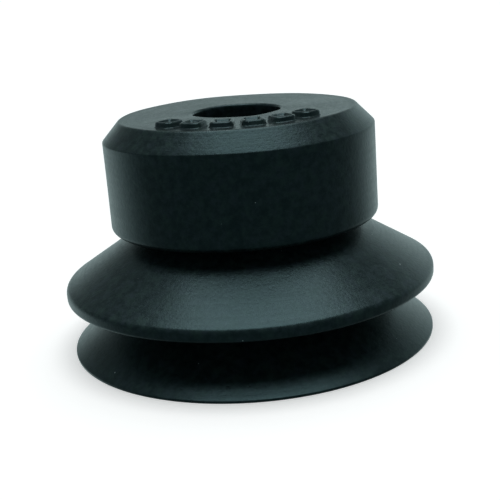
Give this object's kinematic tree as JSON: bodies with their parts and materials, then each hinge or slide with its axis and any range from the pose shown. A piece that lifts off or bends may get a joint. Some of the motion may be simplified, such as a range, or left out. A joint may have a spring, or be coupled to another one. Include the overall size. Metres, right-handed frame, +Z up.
{
  "type": "vacuum suction cup",
  "caption": "Round rubber bellows vacuum pad with a thick bored head, a folding wall and a flared sealing lip that presses down and tilts to meet a workpiece.",
  "frame": {"origin": "centre of the sealing face, on the plane that the pad stands on", "axes": "+Z up the pad's axis and out through the head; -Y is the side with the raised marks"},
  "size_m": [0.0303, 0.0302, 0.019],
  "materials": {
    "thick_rubber": "matte moulded black rubber with a slight cool tint and fine turned mould marks",
    "thin_rubber": "matte moulded black rubber, smoother on the folding walls"
  },
  "bodies": {
    "lip": {"sealing_edge": "thick_rubber", "lip_flare": "thin_rubber"},
    "skirt": {"lip_skirt": "thin_rubber"},
    "waist": {"waist_ring": "thick_rubber"},
    "crest": {"crest_ring": "thick_rubber", "lower_fold_wall": "thin_rubber"},
    "head": {"upper_fold_wall": "thin_rubber", "neck_ring": "thick_rubber", "head_collar": "thick_rubber", "raised_marks": "thick_rubber"}
  },
  "joints": [
    {"name": "lip_flatten", "type": "slide", "parent": "lip", "child": "skirt", "axis": [0, 0, -1], "range_m": [-0.00036, 0.00126], "stiffness_N_per_m": 5500, "deforming": ["lip_flare"]},
    {"name": "front_back_tilt", "type": "hinge", "parent": "skirt", "child": "waist", "pos_m": [0, 0, 0.00385], "axis": [1, 0, 0], "range_deg": [-6, 6], "stiffness_Nm_per_rad": 0.1, "deforming": ["lip_skirt"]},
    {"name": "side_tilt", "type": "hinge", "parent": "waist", "child": "crest", "pos_m": [0, 0, 0.00385], "axis": [0, 1, 0], "range_deg": [-6, 6], "stiffness_Nm_per_rad": 0.1, "deforming": ["lower_fold_wall"]},
    {"name": "bellows_stroke", "type": "slide", "parent": "crest", "child": "head", "axis": [0, 0, -1], "range_m": [-0.0008, 0.0028], "stiffness_N_per_m": 2500, "deforming": ["upper_fold_wall"]}
  ],
  "couplings": [
    {"joint": "lip_flatten", "follows": "bellows_stroke", "ratio": 0.45}
  ]
}
